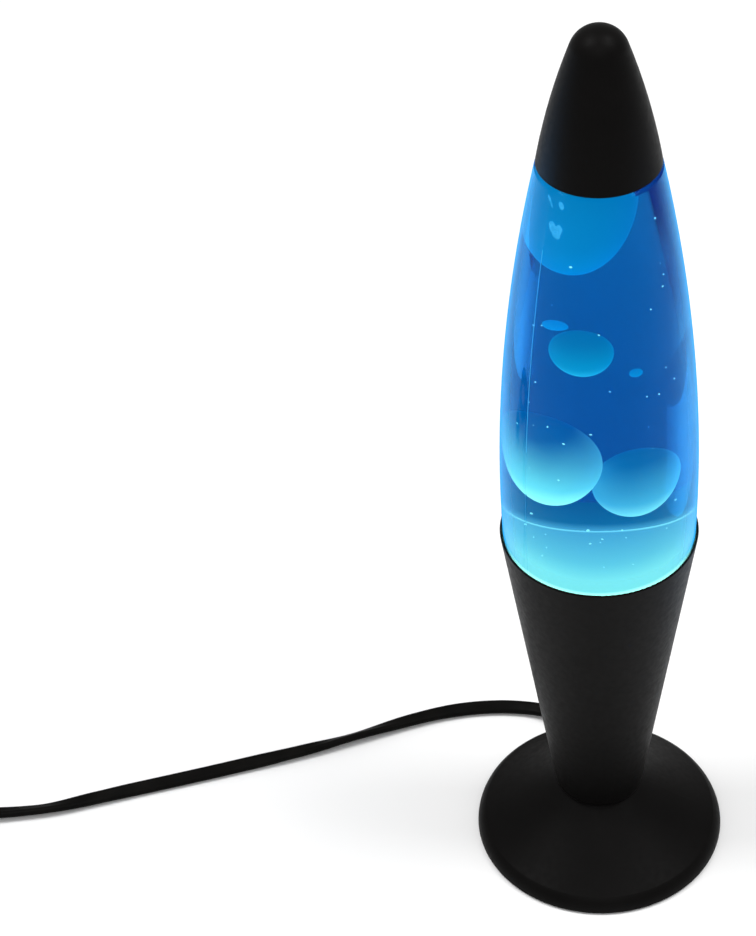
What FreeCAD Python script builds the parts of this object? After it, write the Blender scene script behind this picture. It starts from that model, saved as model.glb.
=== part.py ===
"""Rocket-shaped lava lamp: black base and cap, blue liquid bottle with wax, 25 W reflector bulb.

The origin is the centre of the footprint on the table, +Z is up, and the rear, where the mains
lead leaves the foot, is +Y. Lengths are in millimetres.
"""

import FreeCAD, Part
import Sketcher
import math
import os

Vector = FreeCAD.Vector
Z_AXIS = Vector(0, 0, 1)

# ---------------------------------------------------------------- driving dimensions

SIZES = {
    # base: an upright cone that holds the bottle, on a flared foot
    "foot_radius": 53.5,
    "foot_height": 29.0,
    "foot_neck_radius": 17.0,
    "foot_wall": 1.8,
    "foot_edge_radius": 8.0,
    "skirt_gap": 1.2,
    "waist_radius": 19.0,
    "waist_height": 33.0,
    "rim_radius": 39.6,
    "rim_height": 179.0,
    "cone_wall": 1.0,
    "cone_floor": 2.0,
    "ledge_height": 126.4,
    "ledge_radius": 27.5,
    # bottle: its side is one long arc from the base's rim to the cap's seat
    "belly_radius": 38.7,
    "belly_height": 203.0,
    "belly_curve": 740.0,
    "glass_wall": 2.2,
    "bottle_bottom": 126.6,
    "heel_radius": 31.0,
    "cap_seat": 356.2,
    "seat_radius": 19.8,
    "neck_radius": 12.2,
    "neck_bore": 9.0,
    "lip_height": 378.0,
    "fill_height": 362.0,
    "crown_radius": 14.3,
    # cap: an ogive with a ball tip
    "total_height": 410.0,
    "cap_radius": 22.6,
    "cap_wall": 1.2,
    "tip_radius": 10.2,
    # closing plate, pads and screws under the foot
    "plate_radius": 50.4,
    "plate_bottom": 1.5,
    "plate_thick": 1.8,
    "screw_circle": 36.0,
    "pad_radius": 5.0,
    "pad_circle": 42.0,
    # threaded tie tube and lamp holder
    "tie_radius": 5.0,
    "tie_bore": 3.75,
    "nut_flats": 14.0,
    "thread_gap": 0.02,
    "holder_radius": 14.0,
    "holder_base": 54.0,
    "holder_top": 80.0,
    "shell_radius": 7.15,
    # reflector bulb with a small screw base
    "bulb_tip": 60.3,
    "bulb_length": 64.0,
    "bulb_radius": 19.5,
    "bulb_thread": 6.95,
    # flat two-core lead; the round tube is as wide as the lead
    "lead_width": 6.2,
    "relief_length": 26.0,
    # in-line switch and plug
    "switch_length": 56.0,
    "switch_width": 24.0,
    "switch_height": 15.0,
    "plug_length": 35.3,
    "plug_width": 35.3,
    "plug_thick": 13.7,
    "pin_radius": 2.0,
    "pin_length": 19.0,
    "pin_spacing": 18.6,
}

doc = FreeCAD.newDocument("LavaLamp")
sheet = doc.addObject("Spreadsheet::Sheet", "Sizes")
for row, (alias, value) in enumerate(SIZES.items(), start=1):
    sheet.set(f"A{row}", alias)
    sheet.set(f"B{row}", str(value))
    sheet.setAlias(f"B{row}", alias)
doc.recompute()

NODES = []


def node(thing, name):
    """Label a finished sub-part, which makes it one of the exported nodes."""
    thing.Label = name
    NODES.append(thing)
    return thing


def size(formula):
    """The value of a formula in the sheet's aliases, as a plain number."""
    value = sheet.evalExpression(bind(formula))
    return float(getattr(value, "Value", value))


def bind(formula):
    """A formula in plain aliases, written as an expression that reads the sheet."""
    words = []
    word = ""
    for letter in str(formula) + " ":
        if letter.isalnum() or letter == "_":
            word += letter
            continue
        words.append(f"Sizes.{word}" if word in SIZES else word)
        words.append(letter)
        word = ""
    return "".join(words).strip()


# ---------------------------------------------------------------- bodies of revolution


def add_edge(sketch, start, end, radius, side):
    """Add a line, or an arc whose centre is to the left (side 1) or right (side -1) of its travel."""
    if radius is None:
        return sketch.addGeometry(Part.LineSegment(start, end)), 1, 2
    chord = end - start
    half = chord.Length / 2
    left = Vector(-chord.y, chord.x, 0)
    left.normalize()
    centre = (start + end) * 0.5 + left * side * math.sqrt(size(radius) ** 2 - half**2)
    first, last = (start, end) if side > 0 else (end, start)
    angles = [math.atan2(p.y - centre.y, p.x - centre.x) for p in (first, last)]
    if angles[1] < angles[0]:
        angles[1] += 2 * math.pi
    circle = Part.Circle(centre, Z_AXIS, size(radius))
    edge = sketch.addGeometry(Part.ArcOfCircle(circle, angles[0], angles[1]))
    return (edge, 1, 2) if side > 0 else (edge, 2, 1)


def pin_to(sketch, edge, end, r, z):
    """Hold one end of an edge at a radius and a height that the sheet gives."""
    for kind, axis, formula in (("DistanceX", -2, r), ("DistanceY", -1, z)):
        if str(formula) == "0":
            sketch.addConstraint(Sketcher.Constraint("PointOnObject", edge, end, axis))
            continue
        index = sketch.addConstraint(Sketcher.Constraint(kind, -1, 1, edge, end, size(formula)))
        sketch.setExpression(f"Constraints[{index}]", bind(formula))


def revolved(name, outline):
    """A Body turned about Z from an outline of (r, z) corners.

    A corner may add (radius, side): the edge that leaves it is then an arc of that radius. An arc
    that ends on the axis has its centre there too, so its radius follows from its two ends.
    """
    body = doc.addObject("PartDesign::Body", name)
    sketch = body.newObject("Sketcher::SketchObject", name + "_outline")
    plane = next(f for f in body.Origin.OriginFeatures if f.Role == "XZ_Plane")
    sketch.AttachmentSupport = (plane, "")
    sketch.MapMode = "FlatFace"
    corners = [Vector(size(c[0]), size(c[1]), 0) for c in outline]
    edges = []
    for i, corner in enumerate(outline):
        radius, side = corner[2:] if len(corner) > 2 else (None, 0)
        following = corners[(i + 1) % len(corners)]
        edges.append(add_edge(sketch, corners[i], following, radius, side))
        on_axis = "0" in (outline[i][0], outline[(i + 1) % len(outline)][0])
        if radius is not None and on_axis:
            sketch.addConstraint(Sketcher.Constraint("PointOnObject", edges[-1][0], 3, -2))
        elif radius is not None:
            index = sketch.addConstraint(Sketcher.Constraint("Radius", edges[-1][0], size(radius)))
            sketch.setExpression(f"Constraints[{index}]", bind(radius))
    for i, (edge, first, _) in enumerate(edges):
        before, _, last = edges[i - 1]
        sketch.addConstraint(Sketcher.Constraint("Coincident", before, last, edge, first))
        pin_to(sketch, edge, first, *outline[i][:2])
    turn = body.newObject("PartDesign::Revolution", name + "_turn")
    turn.Profile = sketch
    turn.ReferenceAxis = (sketch, ["V_Axis"])
    turn.Angle = 360
    return body


# ---------------------------------------------------------------- primitives and booleans


def cylinder(name, radius, low, high, x=0, y=0):
    """An upright Part::Cylinder between two heights."""
    solid = doc.addObject("Part::Cylinder", name)
    solid.setExpression("Radius", bind(radius))
    solid.setExpression("Height", bind(f"({high}) - ({low})"))
    place(solid, x, y, low)
    return solid


def cone(name, low_radius, high_radius, low, high, x=0, y=0):
    """An upright Part::Cone between two heights."""
    solid = doc.addObject("Part::Cone", name)
    solid.setExpression("Radius1", bind(low_radius))
    solid.setExpression("Radius2", bind(high_radius))
    solid.setExpression("Height", bind(f"({high}) - ({low})"))
    place(solid, x, y, low)
    return solid


def box(name, width, depth, low, high, x=0, y=0, shift=0.5):
    """An upright Part::Box centred on x and y; shift 0 starts it at x instead."""
    solid = doc.addObject("Part::Box", name)
    solid.setExpression("Length", bind(width))
    solid.setExpression("Width", bind(depth))
    solid.setExpression("Height", bind(f"({high}) - ({low})"))
    place(solid, f"({x}) - ({width}) * {shift}", f"({y}) - ({depth}) / 2", low)
    return solid


def place(solid, x, y, z):
    """Bind a solid's position to the sheet."""
    solid.setExpression("Placement.Base.x", bind(x))
    solid.setExpression("Placement.Base.y", bind(y))
    solid.setExpression("Placement.Base.z", bind(z))


def cut(name, base, *tools):
    """Cut tools from a base, one Part::Cut after another."""
    for i, tool in enumerate(tools):
        result = doc.addObject("Part::Cut", name if i == len(tools) - 1 else f"{name}_cut{i}")
        result.Base = base
        result.Tool = tool
        base = result
    return base


def join(name, *shapes):
    """Fuse shapes, or group them where they don't touch."""
    result = doc.addObject("Part::MultiFuse", name)
    result.Shapes = list(shapes)
    return result


def feature(name, shape):
    """A Part::Feature around a shape made by Part's own functions."""
    result = doc.addObject("Part::Feature", name)
    result.Shape = shape
    return result


def around(count, circle, phase=0.0):
    """The x and y, as formulas, of points evenly spaced around a circle."""
    for i in range(count):
        angle = math.radians(phase + 360.0 * i / count)
        yield f"({circle}) * {math.cos(angle):.6f}", f"({circle}) * {math.sin(angle):.6f}"


# ---------------------------------------------------------------- base shells


def cone_radius(z, inset=0):
    """The base cone's radius at a height, less an inset."""
    slope = "(rim_radius - waist_radius) / (rim_height - waist_height)"
    return f"waist_radius + {slope} * (({z}) - waist_height) - ({inset})"


# The lead leaves the foot along a line that slants to the left. Distances along it, from its inner
# end, give the relief's collar, the groove for the plate's rib, and the tapered tail.
EXIT_START = Vector(14.5, 38.9, 4.9)
EXIT_WAY = Vector(-math.cos(math.radians(30)), math.sin(math.radians(30)), 0)
EXIT_TURN = FreeCAD.Rotation(Vector(1, 0, 0), EXIT_WAY)
COLLAR_AT = 5.0
RIB_AT = 8.1
TAIL_AT = 10.0


def exit_line(distance):
    """A point on the lead's line out of the foot, measured from its inner end."""
    return EXIT_START + EXIT_WAY * distance


def exit_box(name, start, end, inward, outward, low, high):
    """A box along the lead's line out of the foot, reaching inwards and outwards from that line."""
    solid = doc.addObject("Part::Box", name)
    solid.Length = end - start
    solid.Width = inward + outward
    solid.Height = high - low
    at = exit_line(start) + EXIT_TURN.multVec(Vector(0, -outward, 0))
    solid.Placement = FreeCAD.Placement(Vector(at.x, at.y, low), EXIT_TURN)
    return solid


def exit_bore(name, start, end, radius):
    """A cylinder around the lead's line out of the foot."""
    solid = doc.addObject("Part::Cylinder", name)
    solid.Radius = radius
    solid.Height = end - start
    solid.Placement = FreeCAD.Placement(exit_line(start), FreeCAD.Rotation(Z_AXIS, EXIT_WAY))
    return solid


def make_base_cone():
    """The upright cone: a floor on the foot, a ledge for the bottle and a rolled top rim."""
    inner = "cone_wall"
    outline = [
        ("tie_radius + 0.1", "foot_height"),
        ("waist_radius - 2.5", "foot_height", "4.2", 1),
        ("waist_radius", "waist_height"),
        (cone_radius("rim_height - 0.6"), "rim_height - 0.6", "0.7", 1),
        (cone_radius("rim_height", "cone_wall / 2"), "rim_height", "0.7", 1),
        (cone_radius("rim_height - 0.6", inner), "rim_height - 0.6"),
        (cone_radius("ledge_height", inner), "ledge_height"),
        ("ledge_radius", "ledge_height"),
        ("ledge_radius", "ledge_height - 1.6"),
        (cone_radius("ledge_height - 4", inner), "ledge_height - 4"),
        (cone_radius("waist_height + 1", inner), "waist_height + 1", "3.2", -1),
        ("waist_radius - 4", "foot_height + cone_floor"),
        ("tie_radius + 0.1", "foot_height + cone_floor"),
    ]
    node(revolved("base_cone", outline), "base_cone")


def make_foot():
    """The flared foot: a thin shell with screw posts inside and an outlet for the lead."""
    outside = [
        ("foot_radius", "skirt_gap", "foot_edge_radius", 1),
        ("foot_radius - 3.3", "skirt_gap + 6.5", "260", -1),
        ("foot_neck_radius", "foot_height"),
    ]
    inside = [
        ("tie_radius + 0.1", "foot_height"),
        ("tie_radius + 0.1", "foot_height - 2"),
        ("foot_neck_radius - 1", "foot_height - 2", "260", 1),
        ("foot_radius - 4.4", "skirt_gap + 5", "foot_edge_radius - foot_wall", -1),
        ("foot_radius - foot_wall", "skirt_gap"),
    ]
    shell = revolved("foot_turned", outside + inside)
    envelope = revolved("foot_envelope", outside + [("0", "foot_height"), ("0", "skirt_gap")])
    posts = []
    pilots = []
    top = "plate_bottom + plate_thick + 15"
    for i, (x, y) in enumerate(around(3, "screw_circle", 30)):
        posts.append(cylinder(f"foot_post{i}", 3.4, "plate_bottom + plate_thick", top, x, y))
        pilots.append(cylinder(f"foot_pilot{i}", 1.2, 0, f"{top} - 6", x, y))
    trimmed = doc.addObject("Part::MultiCommon", "foot_posts")
    trimmed.Shapes = [join("all_posts", *posts), envelope]
    slot = exit_box("outlet_slot", 14, 46, 4.8, 4.8, 0, EXIT_START.z)
    arch = exit_bore("outlet_arch", COLLAR_AT - 1, 46, 4.8)
    node(cut("foot_shell", join("foot_blank", shell, trimmed), *pilots, slot, arch), "foot_shell")


def make_plate():
    """The closing plate with vents, countersunk screw holes and a rib that grips the lead's collar."""
    top = "plate_bottom + plate_thick"
    disc = cylinder("plate_disc", "plate_radius", "plate_bottom", top)
    holes = []
    for i, (x, y) in enumerate(around(3, "screw_circle", 30)):
        holes.append(cylinder(f"plate_hole{i}", 1.7, "plate_bottom", top, x, y))
        holes.append(cone(f"plate_sink{i}", 3.0, 1.7, "plate_bottom", "plate_bottom + 1.3", x, y))
    for i, (x, y) in enumerate(around(8, 18)):
        holes.append(cylinder(f"plate_vent{i}", 2.6, "plate_bottom", top, x, y))
    slot = exit_box("plate_slot", COLLAR_AT - 1.5, 44, 5.2, 20, 0, 9.0)
    rib = exit_box("plate_rib", RIB_AT, RIB_AT + 1.8, 8, 4.2, 0.6, 6.5)
    throat = exit_box("rib_throat", RIB_AT - 1, RIB_AT + 3, 3.5, 3.5, EXIT_START.z, 9.0)
    bore = exit_bore("rib_bore", RIB_AT - 1, RIB_AT + 3, 3.5)
    plate = cut("plate_blank", disc, *holes, slot)
    node(join("bottom_plate", plate, cut("rib", rib, throat, bore)), "bottom_plate")


def make_plate_screws():
    """Three countersunk self-tapping screws, with cross slots."""
    screws = []
    for i, (x, y) in enumerate(around(3, "screw_circle", 30)):
        head = cone(f"screw_head{i}", 2.9, 1.5, "plate_bottom + 0.1", "plate_bottom + 1.3", x, y)
        shank = cylinder(f"screw_shank{i}", 1.15, "plate_bottom + 1.3", 12, x, y)
        slots = [
            box(f"screw_slot{i}a", 3.6, 0.7, 0, "plate_bottom + 0.8", x, y),
            box(f"screw_slot{i}b", 0.7, 3.6, 0, "plate_bottom + 0.8", x, y),
        ]
        screws.append(cut(f"screw{i}", join(f"screw_blank{i}", head, shank), *slots))
    node(join("plate_screws", *screws), "plate_screws")


def make_pads():
    """Four soft pads that the lamp stands on, each with a rounded lower edge."""
    pads = []
    for i, (x, y) in enumerate(around(4, "pad_circle", 45)):
        low = cone(f"pad_low{i}", "pad_radius - 0.4", "pad_radius", 0, 0.4, x, y)
        high = cylinder(f"pad_high{i}", "pad_radius", 0.4, "plate_bottom", x, y)
        pads.append(join(f"pad{i}", low, high))
    node(join("rubber_pads", *pads), "rubber_pads")


# ---------------------------------------------------------------- tie tube and lamp holder


def hexagon(name, low, high, x=0, y=0):
    """A hexagonal nut blank between two heights."""
    prism = doc.addObject("Part::Prism", name)
    prism.Polygon = 6
    prism.setExpression("Circumradius", bind("nut_flats / sqrt(3)"))
    prism.setExpression("Height", bind(f"({high}) - ({low})"))
    place(prism, x, y, low)
    return prism


def make_tie():
    """A hollow threaded tube clamps foot and cone between two washers and two thin nuts."""
    low = "foot_height - 9"
    high = "holder_base - 9"
    tube = cylinder("tie_rod", "tie_radius", low, high)
    node(cut("tie_tube", tube, cylinder("tie_hole", "tie_bore", low, high)), "tie_tube")
    under = "foot_height - 2"
    over = "foot_height + cone_floor"
    washers = []
    nuts = []
    for i, (face, way) in enumerate(((under, -1), (over, 1))):
        ends = sorted((0, way * 1.0))
        disc = cylinder(f"washer_disc{i}", 9, f"{face} + {ends[0]}", f"{face} + {ends[1]}")
        hole = cylinder(f"washer_hole{i}", "tie_radius + 0.1", f"{face} - 2", f"{face} + 2")
        washers.append(cut(f"washer{i}", disc, hole))
        ends = sorted((way * 1.0, way * 4.0))
        blank = hexagon(f"nut_blank{i}", f"{face} + {ends[0]}", f"{face} + {ends[1]}")
        bore = "tie_radius + thread_gap"
        nuts.append(cut(f"nut{i}", blank, cylinder(f"nut_hole{i}", bore, f"{face} - 5", f"{face} + 5")))
    node(join("tie_washers", *washers), "tie_washers")
    node(join("tie_nuts", *nuts), "tie_nuts")


def make_holder():
    """The lamp holder: a screwed cap, an outer body, and a core with the live parts."""
    cap = [
        ("tie_radius + thread_gap", "holder_base - 18"),
        ("7.6", "holder_base - 18"),
        ("7.6", "holder_base - 10"),
        ("holder_radius - 0.2", "holder_base - 4"),
        ("holder_radius - 0.2", "holder_base"),
        ("holder_radius - 1.6", "holder_base"),
        ("holder_radius - 1.6", "holder_base - 3"),
        ("6.4", "holder_base - 8.4"),
        ("tie_radius + thread_gap", "holder_base - 8.4"),
    ]
    node(revolved("holder_cap", cap), "holder_cap")
    body = [
        ("shell_radius + 0.5", "holder_base + 5"),
        ("holder_radius - 1.6", "holder_base + 5"),
        ("holder_radius - 1.6", "holder_base"),
        ("holder_radius", "holder_base"),
        ("holder_radius", "holder_top - 2"),
        ("holder_radius - 2", "holder_top"),
        ("9", "holder_top"),
        ("shell_radius + 0.5", "holder_top - 2"),
    ]
    turned = revolved("holder_turned", body)
    grooves = []
    for i, (x, y) in enumerate(around(16, "holder_radius + 0.5", 11)):
        grooves.append(cylinder(f"grip{i}", 0.9, "holder_base + 4", "holder_top - 6", x, y))
    node(cut("holder_body", turned, join("grips", *grooves)), "holder_body")
    core = cylinder("core_disc", "holder_radius - 1.7", "holder_base + 0.1", "holder_base + 4.4")
    passages = [
        cylinder(f"core_hole{i}", 1.6, "holder_base", "holder_base + 5", x, 0)
        for i, x in enumerate((-9.5, 9.5))
    ]
    node(cut("holder_core", core, *passages), "holder_core")
    sleeve = [
        ("shell_radius", "holder_base + 4.4"),
        ("9.8", "holder_base + 4.4"),
        ("9.8", "holder_base + 4.9"),
        ("shell_radius + 0.4", "holder_base + 4.9"),
        ("shell_radius + 0.4", "holder_top - 4"),
        ("shell_radius", "holder_top - 4"),
    ]
    node(revolved("holder_screw_shell", sleeve), "holder_screw_shell")
    root = box("tongue_root", 4.5, 3, "holder_base + 4.4", "holder_base + 4.8", -3.6, 0)
    riser = box("tongue_riser", 0.4, 3, "holder_base + 4.4", "bulb_tip - 0.4", -1.6, 0)
    top = box("tongue_top", 3.4, 3, "bulb_tip - 0.5", "bulb_tip - 0.1", -0.1, 0)
    node(join("holder_contact", root, riser, top), "holder_contact")


# ---------------------------------------------------------------- reflector bulb


def make_bulb():
    """The reflector bulb: glass, screw base, insulator, centre contact, stem and filament."""
    top = "bulb_tip + bulb_length"
    glass = [
        ("bulb_thread - 0.6", "bulb_tip + 6"),
        ("bulb_thread - 0.6", "bulb_tip + 22", "48", 1),
        ("bulb_radius - 0.6", f"{top} - 20", "12", 1),
        ("bulb_radius - 2.6", f"{top} - 7", "24", 1),
        ("0", top),
        ("0", f"{top} - 0.8"),
        ("bulb_radius - 3.4", f"{top} - 7.5"),
        ("bulb_radius - 1.4", f"{top} - 20", "48", -1),
        ("bulb_thread - 1.3", "bulb_tip + 22"),
        ("bulb_thread - 1.3", "bulb_tip + 6"),
    ]
    node(revolved("bulb_glass", glass), "bulb_glass")
    shell = [
        ("bulb_thread - 0.3", "bulb_tip + 3.6"),
        ("bulb_thread", "bulb_tip + 3.6"),
        ("bulb_thread", "bulb_tip + 18"),
        ("bulb_thread - 0.3", "bulb_tip + 18"),
    ]
    node(revolved("bulb_screw_base", shell), "bulb_screw_base")
    insulator = [
        ("0", "bulb_tip + 1.8"),
        ("3.2", "bulb_tip + 1.8"),
        ("bulb_thread - 0.4", "bulb_tip + 3.8"),
        ("bulb_thread - 0.4", "bulb_tip + 5.4"),
        ("0", "bulb_tip + 5.4"),
    ]
    node(revolved("bulb_insulator", insulator), "bulb_insulator")
    tip = [("0", "bulb_tip"), ("1.6", "bulb_tip"), ("2.6", "bulb_tip + 0.9")]
    tip += [("2.6", "bulb_tip + 1.7"), ("0", "bulb_tip + 1.7")]
    node(revolved("bulb_contact", tip), "bulb_contact")
    stem = [("0", "bulb_tip + 6"), ("4.6", "bulb_tip + 6"), ("2.2", "bulb_tip + 16")]
    stem += [("1.7", "bulb_tip + 28"), ("0", "bulb_tip + 29")]
    node(revolved("bulb_stem", stem), "bulb_stem")
    foot = size("bulb_tip + 26")
    coil = size("bulb_tip + 42")
    legs = [Vector(-2.2, 0, foot), Vector(-7, 0, coil), Vector(-3.5, 4.5, coil + 0.4)]
    legs += [Vector(3.5, 4.5, coil + 0.4), Vector(7, 0, coil), Vector(2.2, 0, foot)]
    node(feature("bulb_filament", routed(legs, 0.35, 0.25)), "bulb_filament")


# ---------------------------------------------------------------- bottle and its contents


def belly(z, inset=0):
    """The bottle's radius at a height on its long side arc, less an inset."""
    reach = f"sqrt((belly_curve - ({inset}))^2 - (({z}) - belly_height)^2)"
    return f"belly_radius - belly_curve + {reach}"


def bottle_outline(inset, roof):
    """The bottle's side, neck and floor, moved inwards by an inset and closed at a roof height."""
    neck = "neck_radius" if inset == "0" else f"neck_bore - ({inset}) + glass_wall"
    low = f"bottle_bottom + ({inset})"
    return [
        ("0", f"{low} + 1.6"),
        (f"heel_radius - 7 - ({inset}) / 2", low),
        (f"heel_radius - 3 - ({inset}) / 2", low, "4.5", 1),
        (f"heel_radius - ({inset})", "bottle_bottom + 4.5"),
        (belly("rim_height", inset), "rim_height", f"belly_curve - ({inset})", 1),
        (belly("cap_seat - 1.4", inset), "cap_seat - 1.4", "1.5", 1),
        (f"cap_radius - 1 - ({inset})", "cap_seat"),
        (f"seat_radius - ({inset}) / 2", "cap_seat"),
        (neck, f"cap_seat + 8 - ({inset}) / 2"),
        (neck, roof),
        ("0", roof),
    ]


def make_glass():
    """The bottle: outside less inside, with a beaded lip for the crown cap."""
    outside = revolved("bottle_outside", bottle_outline("0", "lip_height"))
    inside = revolved("bottle_inside", bottle_outline("glass_wall", "lip_height + 1"))
    bead = doc.addObject("Part::Torus", "lip_bead")
    bead.setExpression("Radius1", bind("neck_radius - 0.6"))
    bead.Radius2 = 1.5
    place(bead, 0, 0, "lip_height - 1.5")
    node(cut("glass_bottle", join("bottle_blank", outside, bead), inside), "glass_bottle")


def blob(name, x, y, z, wide, deep, tall):
    """A wax blob: an ellipsoid with its half-sizes along X, Y and Z."""
    solid = doc.addObject("Part::Ellipsoid", name)
    solid.Radius1 = tall
    solid.Radius2 = wide
    solid.Radius3 = deep
    solid.Placement = FreeCAD.Placement(Vector(x, y, z), FreeCAD.Rotation())
    return solid


def make_contents():
    """Liquid, wax blobs and the wire coil that breaks the surface tension of the wax."""
    room = revolved("wax_room", bottle_outline("glass_wall + 0.3", "fill_height"))
    wax = []
    for name, ball in (
        ("wax_top", blob("top_ball", -8, 0, 342, 18.5, 21, 27)),
        ("wax_lower_left", blob("left_ball", -15, -8, 229.5, 18, 18, 19)),
        ("wax_pool", blob("pool_ball", 0, 0, -600, 700, 700, 785)),
    ):
        piece = doc.addObject("Part::MultiCommon", name + "_trimmed")
        piece.Shapes = [ball, room]
        wax.append(piece)
    free = [
        blob("free_middle", -5, -8, 281, 9.2, 9.2, 8.7),
        blob("free_right", 10.5, 0, 213, 12.5, 12.5, 12.8),
        blob("bead_left", -14.8, -20.2, 302, 4.6, 3.0, 2.2),
        blob("bead_right", 12.5, -24, 280.5, 2.4, 2.2, 1.8),
    ]
    ring = doc.addObject("Part::Torus", "wire_coil")
    ring.Radius1 = 22
    ring.Radius2 = 2.4
    place(ring, 0, 0, "bottle_bottom + glass_wall + 4.4")
    wax[2] = cut("wax_pool_ringed", wax[2], ring)
    fill = revolved("liquid_fill", bottle_outline("glass_wall + 0.05", "fill_height"))
    node(cut("liquid", fill, join("all_wax", *wax, *free, ring)), "liquid")
    for piece, name in zip(wax, ("wax_top", "wax_lower_left", "wax_pool")):
        node(piece, name)
    for piece, name in zip(free, ("wax_middle", "wax_lower_right", "wax_bead_left", "wax_bead_right")):
        node(piece, name)
    node(ring, "wire_coil")


def make_crown():
    """The crown cap with its fluted skirt, and the sealing liner under it."""
    crown = [
        ("0", "lip_height + 0.9"),
        ("neck_radius + 1.1", "lip_height + 0.9"),
        ("neck_radius + 1.1", "lip_height - 3.6"),
        ("crown_radius + 0.6", "lip_height - 4.2"),
        ("crown_radius", "lip_height"),
        ("crown_radius - 0.7", "lip_height + 1.4"),
        ("0", "lip_height + 1.4"),
    ]
    turned = revolved("crown_turned", crown)
    flutes = []
    for i, (x, y) in enumerate(around(21, "crown_radius + 1.1")):
        flutes.append(cylinder(f"flute{i}", 1.0, "lip_height - 4.6", "lip_height - 0.6", x, y))
    node(cut("crown_cap", turned, join("flutes", *flutes)), "crown_cap")
    liner = cylinder("crown_liner", "neck_radius + 0.6", "lip_height + 0.02", "lip_height + 0.88")
    node(liner, "crown_liner")


def make_cap():
    """The hollow cap: two side arcs that run tangent into a ball tip."""
    start = "cap_seat + 0.1"
    lean = 20.2  # degrees above level at which the side runs into the ball
    across = math.cos(math.radians(lean))
    along = math.sin(math.radians(lean))
    centre = "total_height - tip_radius"
    inner = "tip_radius - cap_wall"
    outline = [
        ("cap_radius", start, "288", 1),
        (f"tip_radius * {across:.6f}", f"{centre} + tip_radius * {along:.6f}", "tip_radius", 1),
        ("0", "total_height"),
        ("0", "total_height - cap_wall", inner, -1),
        (f"({inner}) * {across:.6f}", f"{centre} + ({inner}) * {along:.6f}", "287", -1),
        ("cap_radius - cap_wall", start),
    ]
    node(revolved("top_cap", outline), "top_cap")


# ---------------------------------------------------------------- leads, cord, switch and plug


def routed(points, radius, share=0.45, report=None):
    """A round tube along straight runs joined by tangent arcs, each as large as its runs allow."""
    edges = []
    radii = []
    here = points[0]
    for before, corner, after in zip(points, points[1:], points[2:]):
        runs = (corner - before, after - corner)
        half_turn = runs[0].getAngle(runs[1]) / 2
        cutback = share * min(run.Length for run in runs)
        radii.append(cutback / math.tan(half_turn))
        back, ahead = (Vector(run).normalize() for run in runs)
        start = corner - back * cutback
        end = corner + ahead * cutback
        inward = (ahead - back).normalize()
        depth = radii[-1] * (1 / math.cos(half_turn) - 1)
        edges.append(Part.LineSegment(here, start).toShape())
        edges.append(Part.Arc(start, corner + inward * depth, end).toShape())
        here = end
    edges.append(Part.LineSegment(here, points[-1]).toShape())
    wire = Part.Wire(edges)
    length = sum(edge.Length for edge in edges)
    circle = Part.Circle(points[0], points[1] - points[0], radius).toShape()
    tube = wire.makePipeShell([Part.Wire([circle])], True, False)
    wanted = math.pi * radius**2 * length
    if abs(tube.Volume / wanted - 1) > 0.002:
        raise RuntimeError(f"{report or 'tube'}: volume {tube.Volume:.0f}, section x length {wanted:.0f}")
    if report:
        listed = " ".join(f"{r:.0f}" for r in radii)
        print(f"{report}: length {length:.0f} mm, arc radii {listed}")
    return tube


def make_leads():
    """The two insulated wires from the lead's inner end, up the tie tube, to the holder."""
    inner_end = exit_line(COLLAR_AT)
    side = EXIT_TURN.multVec(Vector(0, 1.3, 0))
    for name, way in (("lead_live", 1), ("lead_neutral", -1)):
        route = [
            inner_end + side * way,
            inner_end - EXIT_WAY * 9 + side * way,
            Vector(22 - 2 * way, 24, 9),
            Vector(9 - 1.5 * way, 9 + 1.3 * way, 11),
            Vector(-1.2 * way, 0.9 * way, 17),
            Vector(-1.3 * way, 0.8 * way, 30),
            Vector(-1.5 * way, 0.6 * way, size("holder_base - 9")),
            Vector(-5.5 * way, 0, size("holder_base - 4")),
            Vector(-9.5 * way, 0, size("holder_base - 1")),
            Vector(-9.4 * way, 0, size("holder_base + 3.5")),
        ]
        node(feature(name, routed(route, 1.1)), name)


def make_relief():
    """The strain relief: a collar, a groove that the plate's rib grips, and a tapered ribbed tail."""
    reach = size("relief_length")
    hold = size("lead_width") / 2
    tip = hold + 0.5
    parts = [
        Part.makeCylinder(4.6, RIB_AT - COLLAR_AT - 0.1, Vector(0, 0, COLLAR_AT)),
        Part.makeCylinder(3.4, TAIL_AT - RIB_AT + 0.4, Vector(0, 0, RIB_AT - 0.2)),
        Part.makeCone(4.2, tip, reach, Vector(0, 0, TAIL_AT)),
    ]
    solid = parts[0].fuse(parts[1:]).removeSplitter()
    for i in range(6):
        at = TAIL_AT + 3.2 + i * 3.4
        ring = Part.makeCylinder(6, 1.2, Vector(0, 0, at))
        solid = solid.cut(ring.cut(Part.makeCylinder(hold + 0.25, 1.2, Vector(0, 0, at))))
    solid.Placement = FreeCAD.Placement(EXIT_START, FreeCAD.Rotation(Z_AXIS, EXIT_WAY))
    node(feature("strain_relief", solid), "strain_relief")


REST = 3.1  # the height of the lead's centre where it lies on the table

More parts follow.
